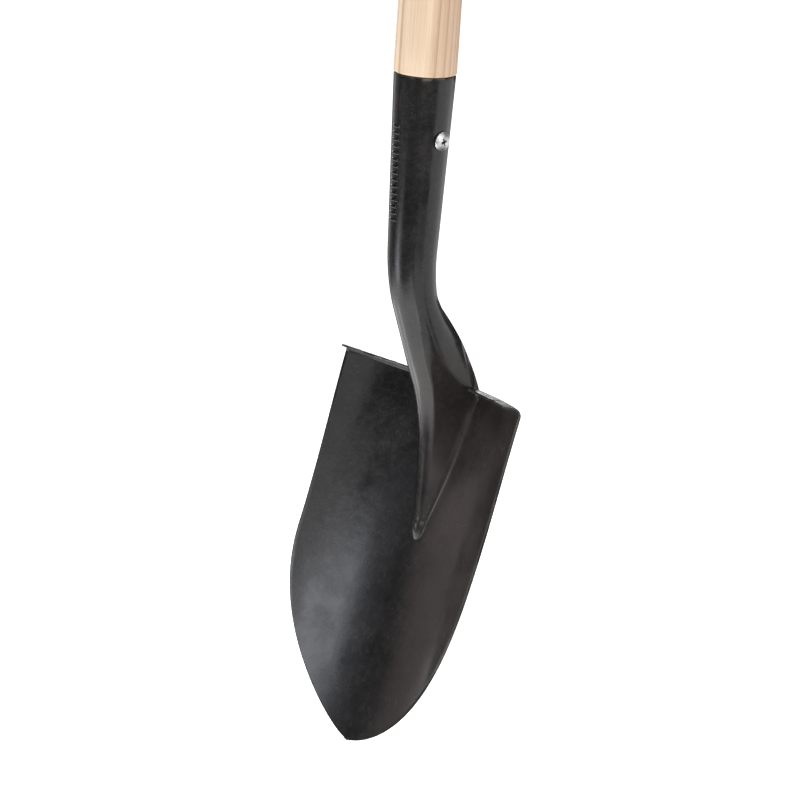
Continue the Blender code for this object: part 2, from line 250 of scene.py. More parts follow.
# Studio.
FLOOR_Z = TIP_Z - 0.30
FLOOR_RADIUS = 16.0
FLOOR_SEGMENTS = 96
FLOOR_GLOW = 1.25
WORLD_GLOW = 0.06  # what the world gives everything but the camera
LIGHTS_AIM = Vector((0, 0, RIM_Z - 0.23))


def ease(value, start, end):
    """0 before start, 1 after end, and a smooth step between them."""
    share = min(1.0, max(0.0, (value - start) / (end - start)))
    return share * share * (3 - 2 * share)


def mix(first, second, share):
    return first + (second - first) * share


def add_camera():
    backward = Vector(
        (
            sin(CAMERA_AZIMUTH) * cos(CAMERA_ELEVATION),
            -cos(CAMERA_AZIMUTH) * cos(CAMERA_ELEVATION),
            sin(CAMERA_ELEVATION),
        )
    )
    level_right = Vector((cos(CAMERA_AZIMUTH), sin(CAMERA_AZIMUTH), 0))
    level_up = backward.cross(level_right)
    right = level_right * cos(CAMERA_ROLL) + level_up * sin(CAMERA_ROLL)
    up = level_up * cos(CAMERA_ROLL) - level_right * sin(CAMERA_ROLL)
    camera = bpy.data.objects.new("camera", bpy.data.cameras.new("camera"))
    bpy.context.scene.collection.objects.link(camera)
    placed = Matrix((right, up, backward)).transposed().to_4x4()
    placed.translation = CAMERA_TARGET + backward * CAMERA_DISTANCE
    camera.matrix_world = placed
    camera.data.lens = CAMERA_LENS
    camera.data.clip_end = 100
    bpy.context.scene.camera = camera


class Surface:
    """A node material, with a short call for each kind of node that the materials here use."""

    def __init__(self, name):
        self.material = bpy.data.materials.new(name)
        self.material.use_nodes = True
        self.tree = self.material.node_tree
        self.shader = self.tree.nodes["Principled BSDF"]
        self.place = self.node("ShaderNodeTexCoord").outputs["Object"]

    def node(self, kind, **settings):
        made = self.tree.nodes.new(kind)
        for name, value in settings.items():
            setattr(made, name, value)
        return made

    def feed(self, socket, value):
        if isinstance(value, bpy.types.NodeSocket):
            self.tree.links.new(value, socket)
        else:
            socket.default_value = value

    def set(self, name, value):
        self.feed(self.shader.inputs[name], value)

    def math(self, operation, first, second=0.0):
        made = self.node("ShaderNodeMath", operation=operation)
        self.feed(made.inputs[0], first)
        self.feed(made.inputs[1], second)
        return made.outputs[0]

    def add(self, *values):
        total = values[0]
        for value in values[1:]:
            total = self.math("ADD", total, value)
        return total

    def scaled(self, factors, vector=None):
        made = self.node("ShaderNodeVectorMath", operation="MULTIPLY")
        self.feed(made.inputs[0], vector or self.place)
        made.inputs[1].default_value = factors
        return made.outputs[0]

    def apart(self, vector):
        """The x, y and z of a vector."""
        made = self.node("ShaderNodeSeparateXYZ")
        self.feed(made.inputs[0], vector)
        return made.outputs[0], made.outputs[1], made.outputs[2]

    def shifted(self, offset, vector=None):
        made = self.node("ShaderNodeVectorMath", operation="ADD")
        self.feed(made.inputs[0], vector or self.place)
        made.inputs[1].default_value = offset
        return made.outputs[0]

    def noise(self, scale, detail=2.0, roughness=0.5, vector=None):
        made = self.node("ShaderNodeTexNoise")
        self.feed(made.inputs["Vector"], vector or self.place)
        made.inputs["Scale"].default_value = scale
        made.inputs["Detail"].default_value = detail
        made.inputs["Roughness"].default_value = roughness
        return made.outputs[0]

    def cells(self, scale, vector=None):
        """Distance to the nearest of a scatter of points, in cell widths."""
        made = self.node("ShaderNodeTexVoronoi")
        self.feed(made.inputs["Vector"], vector or self.place)
        made.inputs["Scale"].default_value = scale
        return made.outputs["Distance"]

    def spread(self, value, start, end, low=0.0, high=1.0):
        """low before start, high after end, and a smooth step between them."""
        made = self.node("ShaderNodeMapRange", interpolation_type="SMOOTHSTEP")
        for socket, fed in zip(made.inputs, (value, start, end, low, high)):
            self.feed(socket, fed)
        return made.outputs[0]

    def blend(self, share, first, second):
        made = self.node("ShaderNodeMix", data_type="RGBA")
        self.feed(made.inputs["Factor"], share)
        colors = [socket for socket in made.inputs if socket.type == "RGBA"]
        self.feed(colors[0], first)
        self.feed(colors[1], second)
        return [socket for socket in made.outputs if socket.type == "RGBA"][0]

    def ramp(self, value, stops):
        made = self.node("ShaderNodeValToRGB")
        elements = made.color_ramp.elements
        while len(elements) < len(stops):
            elements.new(1.0)
        for element, (position, color) in zip(elements, stops):
            element.position = position
            element.color = (*color, 1.0)
        self.feed(made.inputs[0], value)
        return made.outputs["Color"]

    def attribute(self, name):
        return self.node("ShaderNodeAttribute", attribute_name=name).outputs["Fac"]

    def bump(self, height):
        """Raises the surface by height, in metres."""
        made = self.node("ShaderNodeBump")
        made.inputs["Distance"].default_value = 1.0
        self.feed(made.inputs["Height"], height)
        self.set("Normal", made.outputs["Normal"])


def black_paint():
    """Semi-gloss paint on steel: orange peel, smudges, rubs, thin edges, and dust with painted light on
    one side.
    """
    paint = Surface("semi_gloss_black_paint")
    peel = paint.noise(650, detail=2)
    flow = paint.noise(95, detail=3)
    smudge = paint.noise(17, detail=5, roughness=0.62)
    cloud = paint.noise(48, detail=4, roughness=0.6, vector=paint.shifted((3.1, 0.7, 5.2)))
    drawn = paint.noise(1.0, detail=4, vector=paint.scaled((420, 420, 26)))
    rub = paint.spread(drawn, 0.62, 0.74)
    rub_area = paint.spread(smudge, 0.50, 0.66)
    rub = paint.math("MULTIPLY", rub, rub_area)
    fleck = paint.spread(paint.cells(230), 0.10, 0.05)
    fleck_area = paint.spread(cloud, 0.60, 0.68)
    fleck = paint.math("MULTIPLY", fleck, fleck_area)
    edge = paint.attribute("edge_distance")
    ragged = paint.math("MULTIPLY", paint.noise(420, detail=3), 0.0022)
    worn = paint.spread(paint.add(edge, ragged), 0.0017, 0.0010)
    worn = paint.math("MULTIPLY", worn, paint.spread(cloud, 0.46, 0.60))

    color = paint.blend(smudge, PAINT_DARKEST, PAINT_PALEST)
    color = paint.blend(paint.math("MULTIPLY", rub, 0.35), color, RUB_COLOR)
    color = paint.blend(paint.math("MULTIPLY", fleck, 0.55), color, FLECK_COLOR)
    color = paint.blend(paint.math("MULTIPLY", worn, 0.6), color, WORN_COLOR)
    side, _, up = paint.apart(paint.place)
    # Dust and painted light: a lighter film over the right wing, fading up the blade.
    dust_and_painted_light = paint.math("MULTIPLY", paint.spread(side, *DUST_AND_PAINTED_LIGHT_SIDE), paint.spread(up, *DUST_AND_PAINTED_LIGHT_FOOT))
    dust_and_painted_light = paint.math("MULTIPLY", dust_and_painted_light, paint.spread(up, *DUST_AND_PAINTED_LIGHT_TOP, 1.0, 0.0))
    dust_and_painted_light = paint.math("MULTIPLY", dust_and_painted_light, paint.spread(smudge, 0.34, 0.62, 0.35, 1.0))
    color = paint.blend(dust_and_painted_light, color, DUST_AND_PAINTED_LIGHT_COLOR)
    grime = paint.noise(210, detail=6, roughness=0.72, vector=paint.shifted((1.7, 4.1, 0.3)))
    color = paint.blend(paint.spread(grime, 0.40, 0.72, 0.0, GRIME_MOST), color, GRIME_COLOR)
    paint.set("Base Color", color)
    roughness = paint.spread(smudge, 0.30, 0.70, PAINT_SMOOTHEST, PAINT_ROUGHEST)
    roughness = paint.add(roughness, paint.math("MULTIPLY", rub, 0.08))
    roughness = paint.add(roughness, paint.spread(cloud, 0.35, 0.65, -0.03, 0.03))
    roughness = paint.add(roughness, paint.spread(grime, 0.35, 0.65, -0.012, 0.022))
    paint.set("Roughness", roughness)
    height = paint.add(
        paint.math("MULTIPLY", peel, 0.000016),
        paint.math("MULTIPLY", flow, 0.00009),
        paint.math("MULTIPLY", rub, -0.000006),
        paint.math("MULTIPLY", fleck, 0.00005),
    )
    paint.bump(height)
    return paint.material


def ash_wood():
    """Turned ash: growth rings, open pores and long fibres, and darker wood with painted shade at the
    back right.
    """
    wood = Surface("turned_ash")
    sway = wood.noise(1.0, detail=2, vector=wood.scaled((9, 9, 2.4)))
    flutter = wood.noise(1.0, detail=3, vector=wood.scaled((55, 55, 9)))
    x, y, _ = wood.apart(wood.shifted((-RING_CENTRE[0], -RING_CENTRE[1], 0)))
    squared = wood.add(wood.math("MULTIPLY", x, x), wood.math("MULTIPLY", y, y))
    distance = wood.math("POWER", squared, 0.5)
    distance = wood.add(
        distance,
        wood.math("MULTIPLY", sway, 0.010),
        wood.math("MULTIPLY", flutter, 0.0012),
    )
    ring = wood.math("FRACT", wood.math("MULTIPLY", distance, 1 / RING_WIDTH))
    ring_color = wood.ramp(ring, RING_STOPS)
    fibre = wood.noise(1.0, detail=3, roughness=0.6, vector=wood.scaled((900, 900, 16)))
    pore = wood.noise(1.0, detail=1, vector=wood.scaled((1700, 1700, 55)))
    early = wood.spread(ring, 0.42, 0.04)
    pore = wood.math("MULTIPLY", wood.spread(pore, 0.60, 0.70), wood.spread(ring, 0.5, 0.0, 0.15, 1.0))
    zone = wood.noise(1.0, detail=2, vector=wood.scaled((34, 34, 1.6)))
    color = wood.blend(wood.spread(fibre, 0.35, 0.65, 0.0, 0.45), ring_color, FIBRE_COLOR)
    color = wood.blend(wood.spread(zone, 0.48, 0.66, 0.0, 0.55), color, ZONE_COLOR)
    color = wood.blend(wood.math("MULTIPLY", pore, 0.55), color, PORE_COLOR)
    # Painted shade, with darker wood: the bar's back right side is darkened.
    towards_x, towards_y = DARK_WOOD_AND_SHADE_TOWARDS
    across = wood.add(wood.math("MULTIPLY", x, towards_x), wood.math("MULTIPLY", y, towards_y))
    across = wood.add(across, wood.math("MULTIPLY", flutter, DARK_WOOD_AND_SHADE_RAGGED))
    dark_wood_and_shade = wood.spread(across, DARK_WOOD_AND_SHADE_FROM, DARK_WOOD_AND_SHADE_TO, 0.0, 0.55)
    color = wood.blend(dark_wood_and_shade, color, DARK_WOOD_AND_SHADE_COLOR)
    wood.set("Base Color", color)
    wood.set("Roughness", wood.spread(fibre, 0.3, 0.7, 0.46, 0.60))
    wood.set("Specular IOR Level", 0.35)
    height = wood.add(
        wood.math("MULTIPLY", fibre, 0.00003),
        wood.math("MULTIPLY", pore, -0.00006),
        wood.math("MULTIPLY", early, -0.00002),
    )
    wood.bump(height)
    return wood.material


def depth_in_head(surface):
    """How far a point on the screw is under its head's dome, and 0 away from the recess."""
    from_axis = surface.shifted((0, 0, -SCREW_Z))
    along = surface.node("ShaderNodeVectorMath", operation="DOT_PRODUCT")
    surface.feed(along.inputs[0], from_axis)
    along.inputs[1].default_value = (cos(SCREW_TURN), sin(SCREW_TURN), 0)
    along = along.outputs["Value"]
    length = surface.node("ShaderNodeVectorMath", operation="DOT_PRODUCT")
    surface.feed(length.inputs[0], from_axis)
    surface.feed(length.inputs[1], from_axis)
    squared = surface.math(
        "SUBTRACT", length.outputs["Value"], surface.math("MULTIPLY", along, along)
    )
    dome_top = head_foot() + SCREW_HEAD_HEIGHT
    drop = surface.math("MULTIPLY", squared, 1 / (2 * dome_radius()))
    under = surface.math("SUBTRACT", surface.math("SUBTRACT", dome_top, drop), along)
    reach = (RECESS_HALF_LENGTH + RECESS_HALF_WIDTH) ** 2
    return surface.math("MULTIPLY", under, surface.math("LESS_THAN", squared, reach))


def zinc_plate():
    """Bright zinc plating, a little uneven in gloss, with painted shade down in the screw's recess."""
    zinc = Surface("zinc_plating")
    mottle = zinc.noise(900, detail=4, roughness=0.6)
    grain = zinc.noise(5200, detail=2)
    color = zinc.blend(mottle, ZINC_DARKEST, ZINC_PALEST)
    # Painted shade: the colour darkens deeper down in the screw's recess.
    recess_shade = zinc.spread(depth_in_head(zinc), RECESS_SHADE_FROM, RECESS_SHADE_TO, 0.0, 0.85)
    color = zinc.blend(recess_shade, color, RECESS_SHADE_COLOR)
    zinc.set("Base Color", color)
    zinc.set("Metallic", 1.0)
    zinc.set("Roughness", zinc.spread(mottle, 0.3, 0.7, 0.32, 0.46))
    height = zinc.add(
        zinc.math("MULTIPLY", mottle, 0.00004), zinc.math("MULTIPLY", grain, 0.000004)
    )
    zinc.bump(height)
    return zinc.material


def add_object(name, builder, surface):
    """One mesh object from a bmesh, shaded smooth with its real corners kept sharp."""
    mesh = bpy.data.meshes.new(name)
    builder.to_mesh(mesh)
    builder.free()
    mesh.shade_smooth()
    mesh.set_sharp_from_angle(angle=SHARP_FROM)
    obj = bpy.data.objects.new(name, mesh)
    bpy.context.scene.collection.objects.link(obj)
    if surface:
        mesh.materials.append(surface)
    return obj


def add_piece(piece, slot, *stands_for):
    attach(piece, "root")
    if stands_for:
        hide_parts(*stands_for)
    return piece


def lean(along):
    return mix(LEAN_TOP, LEAN_TIP, along / BLADE_LENGTH)


def blade_centre(along):
    """(y, z) of the blade's centre line, which curls forward, at this distance from the crease."""
    shares = (np.arange(CENTRE_LINE_STEPS) + 0.5) / CENTRE_LINE_STEPS
    angles = lean(along * shares)
    y = CREASE_Y - along * np.sin(angles).mean()
    z = RIM_Z - CREASE_BELOW_RIM - along * np.cos(angles).mean()
    return float(y), float(z)


def half_width(along):
    if along < SHOULDER:
        return mix(HALF_WIDTH_TOP, HALF_WIDTH_SHOULDER, along / SHOULDER)
    share = min(1.0, (along - SHOULDER) / (BLADE_LENGTH - SHOULDER))
    return HALF_WIDTH_SHOULDER * (1 - share**ARCH_FULLNESS) ** ARCH_POWER


def dish(x, along):
    """How far the blade's surface stands forward of its centre line."""
    return mix(DISH_TOP, DISH_LOW, ease(along, 0, SHOULDER)) * x * x


def frog_height(along):
    if along >= FROG_LENGTH:
        return 0.0
    left = 1 - along / FROG_LENGTH
    ridge = FROG_HEIGHT * left + FROG_ROOT_HEIGHT * left**FROG_ROOT_POWER
    bulb = BULB_HEIGHT * max(0.0, 1 - ((along - BULB_AT) / BULB_LENGTH) ** 2)
    return ridge + bulb


def frog_section(along):
    """Arrays x and height of the ridge across the blade: round crest, flat wall, round foot."""
    share = min(1.0, along / FROG_LENGTH)
    height = frog_height(along)
    crest = mix(FROG_CREST_RADIUS, FROG_CREST_RADIUS_LOW, sqrt(share))
    foot = mix(FROG_FOOT_RADIUS, FROG_FOOT_RADIUS_MIDDLE, ease(share, 0, FOOT_WIDE_FROM))
    foot = mix(foot, FROG_FOOT_RADIUS_LOW, ease(share, FOOT_WIDE_TO, 1.0))
    steepest = mix(FROG_WALL, FROG_WALL_LOW, ease(share, 0, WALL_EASED_BY))
    turn = min(steepest, acos(max(-1.0, 1 - height / (crest + foot))))
    rounds = (crest + foot) * (1 - cos(turn))
    wall = (height - rounds) / max(sin(turn), TINY)
    x, up = [], []
    for i in range(CREST_COLUMNS + 1):
        angle = turn * i / CREST_COLUMNS
        x.append(crest * sin(angle))
        up.append(height - crest * (1 - cos(angle)))
    for i in range(1, WALL_COLUMNS + 1):
        run = wall * i / WALL_COLUMNS
        x.append(crest * sin(turn) + run * cos(turn))
        up.append(height - crest * (1 - cos(turn)) - run * sin(turn))
    wall_foot = x[-1]
    for i in range(1, FOOT_COLUMNS + 1):
        angle = turn * (1 - i / FOOT_COLUMNS)
        x.append(wall_foot + foot * (sin(turn) - sin(angle)))
        up.append(foot * (1 - cos(angle)))
    return np.array(x), np.array(up)


def blade_section(along):
    """Arrays x and height of the right half of the blade, from the centre line to the side edge."""
    x, up = frog_section(along)
    width = half_width(along)
    below_frog = max(0.0, along - FROG_LENGTH)
    strip = min(STRIP_HALF_WIDTH + STRIP_WIDENING * below_frog, STRIP_MOST * width)
    if x[-1] < strip:
        widened = x + (strip - x[-1]) * np.linspace(0, 1, len(x))
        up = np.interp(widened, x + np.linspace(0, TINY, len(x)), up)
        x = widened
    wing = np.linspace(x[-1] + min(TREAD_SLIT, width - x[-1]), width, WING_COLUMNS + 1)
    x = np.concatenate([x, wing])
    up = np.concatenate([up, np.zeros(len(wing))])
    return x, up + dish(x, along)


def blade_row(along):
    y, z = blade_centre(along)
    forward = Vector((0, -cos(lean(along)), sin(lean(along))))
    x, up = blade_section(along)
    return [Vector((across, y, z)) + forward * float(height) for across, height in zip(x, up)]


def neck_offset(below_rim):
    """(how far back the neck's centre line is, its slope angle) at this depth below the rim."""
    run = below_rim - BEND_START
    if run <= 0:
        return 0.0, 0.0
    arc_run = BEND_RADIUS * sin(BEND_ANGLE)
    if run < arc_run:
        angle = asin(run / BEND_RADIUS)
        return BEND_RADIUS * (1 - cos(angle)), angle
    return BEND_RADIUS * (1 - cos(BEND_ANGLE)) + (run - arc_run) * tan(BEND_ANGLE), BEND_ANGLE


def socket_radius(below_rim):
    return SOCKET_RADIUS - SOCKET_TAPER * below_rim


def neck_front(below_rim):
    """y of the front of the round neck."""
    back, slope = neck_offset(below_rim)
    return back - socket_radius(below_rim) / cos(slope)


def neck_row(below_rim, frog_top):
    """Half a cross section of the neck: a circle that opens into the frog's arch."""
    top_x, top_up = frog_section(TREAD_BEND_START)
    steps = np.hypot(np.diff(top_x), np.diff(top_up))
    shares = np.concatenate([[0], np.cumsum(steps)]) / steps.sum()
    crest = np.linspace(0, FROG_WALL, CREST_COLUMNS + 1)
    wall = np.full(WALL_COLUMNS, FROG_WALL)
    foot = np.linspace(FROG_WALL, 0, FOOT_COLUMNS + 1)[1:]
    arch = np.concatenate([crest, wall, foot])
    frog_below_rim = RIM_Z - frog_top.z
    opening = ease(below_rim, OPENING_START, frog_below_rim)
    opening = max(0.0, opening - OPENING_HELD) / (1 - OPENING_HELD)
    radius = socket_radius(below_rim)
    circle = pi * shares * (1 - SEAM_HALF_GAP / (pi * radius))
    turned = mix(circle, arch, opening)
    length = mix(pi * radius, steps.sum(), opening)
    chords = length * np.diff(shares) * np.sinc(np.diff(turned) / (2 * pi))
    headings = (turned[1:] + turned[:-1]) / 2
    x = np.concatenate([[0], np.cumsum(chords * np.cos(headings))])
    depth = np.concatenate([[0], np.cumsum(chords * np.sin(headings))])
    depth = depth - opening * dish(x, TREAD_BEND_START)
    run_in = max(0.0, (below_rim - TILT_START) / (frog_below_rim - TILT_START))
    correction = (frog_top.y - neck_front(frog_below_rim)) * run_in**2
    front = Vector((0, neck_front(below_rim) + correction, RIM_Z - below_rim))
    tilt = mix(-neck_offset(below_rim)[1], LEAN_TOP, ease(below_rim, TILT_START, frog_below_rim))
    backward = Vector((0, cos(tilt), -sin(tilt)))
    return [front + backward * float(back) + Vector((float(side), 0, 0)) for side, back in zip(x, depth)]


def tread_column(base, tangent, up_direction):
    """Points from the blade's top row up round the bend and forward to the tread's front edge."""
    normal = up_direction.cross(tangent).normalized()
    if normal.y > 0:
        normal.negate()
    points = []
    for i in range(1, TREAD_BEND_ROWS + 1):
        angle = TREAD_TURN * i / TREAD_BEND_ROWS
        up = up_direction * (TREAD_BEND_RADIUS * sin(angle))
        points.append(base + up + normal * (TREAD_BEND_RADIUS * (1 - cos(angle))))
    direction = up_direction * cos(TREAD_TURN) + normal * sin(TREAD_TURN)
    bent = points[-1]
    for i in range(1, TREAD_FLAT_ROWS + 1):
        points.append(bent + direction * (TREAD_FLAT * i / TREAD_FLAT_ROWS))
    return points


def add_grid(builder, rows):
    """Quads between rows of bmesh vertices. A row of one vertex closes the grid to a point."""
    for upper, lower in zip(rows, rows[1:]):
        for i in range(len(upper) - 1):
            if len(lower) == 1:
                builder.faces.new((upper[i], lower[0], upper[i + 1]))
            else:
                builder.faces.new((upper[i], lower[i], lower[i + 1], upper[i + 1]))


def head_rows():
    """Distances down the blade of its mesh rows, close together at the ridge's end and at the tip."""
    frog = TREAD_BEND_START + (FROG_LENGTH - TREAD_BEND_START) * np.sin(
        np.linspace(0, pi / 2, FROG_ROWS + 1)
    )
    share = np.linspace(0, 1, LOWER_ROWS + 1)[1:]
    lower = FROG_LENGTH + (BLADE_LENGTH - FROG_LENGTH) * np.sin(share * pi / 2)
    return [float(along) for along in np.concatenate([frog, lower])]


def half_sheet():
    """The right half of the head as one open surface: socket, neck, frog, blade and tread."""
    builder = bmesh.new()
    rows = []
    for along in head_rows():
        points = blade_row(along)
        if along >= BLADE_LENGTH:
            points = points[:1]
        rows.append([builder.verts.new(point) for point in points])
    add_grid(builder, rows)
    top_points = [vertex.co.copy() for vertex in rows[0]]

    frog_top = top_points[0]
    depths = np.linspace(0, RIM_Z - frog_top.z, NECK_ROWS + 1)[:-1]
    neck = []
    for depth in depths:
        neck.append([builder.verts.new(point) for point in neck_row(float(depth), frog_top)])
    add_grid(builder, neck + [rows[0][: NECK_COLUMNS + 1]])

    first = NECK_COLUMNS + 1
    up_direction = Vector((0, sin(LEAN_TOP), cos(LEAN_TOP)))
    columns = []
    for i in range(first, len(top_points)):
        ahead = top_points[min(i + 1, len(top_points) - 1)]
        tangent = (ahead - top_points[max(i - 1, first)]).normalized()
        made = tread_column(top_points[i], tangent, up_direction)
        columns.append([rows[0][i]] + [builder.verts.new(point) for point in made])
    tread = [list(row) for row in zip(*columns)]
    add_grid(builder, tread[::-1])
    return builder


def whole_sheet():
    """Both halves in one surface, a little uneven, with each point's distance to the sheet's edge."""
    builder = half_sheet()
    everything = builder.verts[:] + builder.edges[:] + builder.faces[:]
    bmesh.ops.mirror(builder, geom=everything, axis="X", merge_dist=MERGE)
    bmesh.ops.recalc_face_normals(builder, faces=builder.faces)
    builder.normal_update()
    crease_z = RIM_Z - CREASE_BELOW_RIM
    for vertex in builder.verts:
        on_blade = 1 - ease(vertex.co.z, crease_z - DENTS_FADE, crease_z + DENTS_FADE)
        dents = noise.noise(vertex.co / DENT_SIZE) * DENT_DEPTH * on_blade
        ripples = noise.noise(vertex.co / RIPPLE_SIZE) * RIPPLE_DEPTH
        vertex.co += vertex.normal * (dents + ripples)
    rim = [vertex.co.copy() for vertex in builder.verts if vertex.is_boundary]
    tree = kdtree.KDTree(len(rim))
    for index, point in enumerate(rim):
        tree.insert(point, index)
    tree.balance()
    layer = builder.verts.layers.float.new("edge_distance")
    for vertex in builder.verts:
        vertex[layer] = tree.find(vertex.co)[2]
    return builder


def turned_piece(profile, segments):
    """A solid turned round +Z from (radius, height) points that start and end on the axis."""
    builder = bmesh.new()
    rings = []
    for radius, height in profile:
        if radius == 0:
            rings.append([builder.verts.new((0, 0, height))])
            continue
        ring = []
        for i in range(segments):
            angle = 2 * pi * i / segments
            ring.append(builder.verts.new((radius * cos(angle), radius * sin(angle), height)))
        rings.append(ring)
    for upper, lower in zip(rings, rings[1:]):
        for i in range(segments):
            j = (i + 1) % segments
            corners = [upper[i % len(upper)], lower[i % len(lower)]]
            corners += [lower[j % len(lower)], upper[j % len(upper)]]
            builder.faces.new(list(dict.fromkeys(corners)))
    return builder


def cut(target, builder):
    """Takes a closed shape out of a piece, and leaves the piece with no modifiers."""
    cutter = add_object("cutter", builder, None)
    modifier = target.modifiers.new("cut", "BOOLEAN")
    modifier.operation = "DIFFERENCE"
    modifier.solver = "EXACT"
    modifier.object = cutter
    graph = bpy.context.evaluated_depsgraph_get()
    finished = bpy.data.meshes.new_from_object(target.evaluated_get(graph))
    target.modifiers.clear()
    target.data = finished
    bpy.data.objects.remove(cutter, do_unlink=True)


def along_screw(distance):
    """Turns +Z to the screw's direction, and moves the origin out along it from the shaft's axis."""
    turned = Matrix.Rotation(SCREW_TURN, 4, "Z") @ Matrix.Rotation(pi / 2, 4, "Y")
    return Matrix.Translation((0, 0, SCREW_Z)) @ turned @ Matrix.Translation((0, 0, distance))


def screw_hole(radius, start, end):
    """A cylinder along the screw, which starts and ends this far from the shaft's axis."""
    profile = [(0, end), (radius, end), (radius, start), (0, start)]
    builder = turned_piece(profile, HOLE_SEGMENTS)
    builder.transform(along_screw(0))
    return builder


def make_head(paint):
    head = add_object("pressed_head", whole_sheet(), paint)
    sheet = head.modifiers.new("sheet", "SOLIDIFY")
    sheet.thickness = SHEET
    sheet.offset = 0
    sheet.use_even_offset = True
    rounding = head.modifiers.new("rounded_edges", "BEVEL")
    rounding.width = EDGE_ROUNDING
    rounding.segments = 2
    rounding.limit_method = "ANGLE"
    rounding.angle_limit = ROUNDED_FROM
    rounding.use_clamp_overlap = True
    cut(head, screw_hole(SHEET_HOLE_RADIUS, SHEET_HOLE_FROM, HOLES_TO))
    add_piece(head, "black_paint", "steel_head")


def bar_point(below_rim, across, along, lift):
    """A point on one bar: across and along run from -1 to 1 over it, lift is above the socket."""
    depth = below_rim - BAR_HALF_WIDTH * along
    radius = socket_radius(depth) + SHEET / 2 + lift
    angle = BAR_AZIMUTH + BAR_HALF_LENGTH * across / SOCKET_RADIUS
    return Vector((radius * sin(angle), -radius * cos(angle), RIM_Z - depth))


def add_bar(builder, below_rim):
    """One pillow-shaped bar, whose rim and flat base are sunk into the sheet."""
    tops, bases = [], []
    for row in range(BAR_ROWS + 1):
        along = 2 * row / BAR_ROWS - 1
        reach = 1 - BAR_END_ROUNDING * abs(along) ** 3
        top_row, base_row = [], []
        for column in range(BAR_COLUMNS + 1):
            across = reach * sin(pi * (column / BAR_COLUMNS - 0.5))
            crown = (1 - (across / reach) ** 6) * (1 - along**4)
            lift = mix(-BAR_ROOT / 4, BAR_HEIGHT, sqrt(max(0.0, crown)))
            top_row.append(builder.verts.new(bar_point(below_rim, across, along, lift)))
            base_row.append(builder.verts.new(bar_point(below_rim, across, along, -BAR_ROOT)))
        tops.append(top_row)
        bases.append(base_row)
    add_grid(builder, tops)
    add_grid(builder, [row[::-1] for row in bases])
    last = len(tops[0]) - 1
    top_rim = tops[0] + [row[last] for row in tops[1:]] + tops[-1][-2::-1]
    top_rim += [row[0] for row in tops[-2:0:-1]]
    base_rim = bases[0] + [row[last] for row in bases[1:]] + bases[-1][-2::-1]
    base_rim += [row[0] for row in bases[-2:0:-1]]
    for i in range(len(top_rim)):
        j = (i + 1) % len(top_rim)
        builder.faces.new((top_rim[i], top_rim[j], base_rim[j], base_rim[i]))


def make_bars(paint):
    builder = bmesh.new()
    for i in range(BAR_COUNT):
        add_bar(builder, BAR_FIRST + BAR_PITCH * i)
    bmesh.ops.recalc_face_normals(builder, faces=builder.faces)
    layer = builder.verts.layers.float.new("edge_distance")
    for vertex in builder.verts:
        vertex[layer] = 1.0
    add_piece(add_object("socket_bars", builder, paint), "black_paint")


def shaft_profile():
    """(radius, height) from the butt to the tenon's end, inside the socket."""
    profile = [(0, BUTT_Z)]
    for i in range(1, BUTT_ROWS):
        profile.append(((SHAFT_RADIUS_BUTT - BUTT_ROUNDING) * i / BUTT_ROWS, BUTT_Z))
    for i in range(BUTT_ROWS + 1):
        angle = pi / 2 * i / BUTT_ROWS
        radius = SHAFT_RADIUS_BUTT - BUTT_ROUNDING * (1 - sin(angle))
        profile.append((radius, BUTT_Z - BUTT_ROUNDING * (1 - cos(angle))))
    taper_top, taper_bottom = BUTT_Z - BUTT_ROUNDING, RIM_Z + TAPER_FROM
    for i in range(1, SHAFT_ROWS + 1):
        share = i / SHAFT_ROWS
        radius = mix(SHAFT_RADIUS_BUTT, SHAFT_RADIUS, share)
        profile.append((radius, mix(taper_top, taper_bottom, share)))
    bottom = RIM_Z + SHOULDER_GAP
    for i in range(SHOULDER_ROWS + 1):
        angle = pi / 2 * i / SHOULDER_ROWS
        radius = SHAFT_RADIUS - SHOULDER_ROUNDING * (1 - cos(angle))
        profile.append((radius, bottom + SHOULDER_ROUNDING * (1 - sin(angle))))
    inside = SHEET / 2 + TENON_CLEARANCE
    profile.append((socket_radius(0) - inside, bottom))
    for depth in (SCREW_BELOW_RIM, TENON_STRAIGHT):
        profile.append((socket_radius(depth) - inside, RIM_Z - depth))
    profile.append((TENON_END_RADIUS, RIM_Z - TENON_END))
    profile.append((0, RIM_Z - TENON_END))
    return profile


def make_shaft(wood):
    builder = turned_piece(shaft_profile(), SHAFT_SEGMENTS)
    for vertex in builder.verts:
        outward = Vector((vertex.co.x, vertex.co.y, 0))
        if vertex.co.z < RIM_Z or outward.length < SHAFT_RADIUS / 2:
            continue
        place = Vector((*(vertex.co.xy * WAVES_ACROSS), vertex.co.z * WAVES_ALONG))
        wander = noise.noise(place)
        vertex.co += outward.normalized() * (wander * TURNING_WAVE)
    shaft = add_object("ash_shaft", builder, wood)
    cut(shaft, screw_hole(PILOT_HOLE_RADIUS, PILOT_HOLE_FROM, HOLES_TO))
    add_piece(shaft, "ash_wood", "shaft")


def dome_radius():
    dome_height = SCREW_HEAD_HEIGHT - SCREW_HEAD_EDGE
    return (SCREW_HEAD_RADIUS**2 + dome_height**2) / (2 * dome_height)


def head_foot():
    """How far from the shaft's axis the screw's head starts."""
    return socket_radius(SCREW_BELOW_RIM) + SHEET / 2 + HEAD_STANDOFF


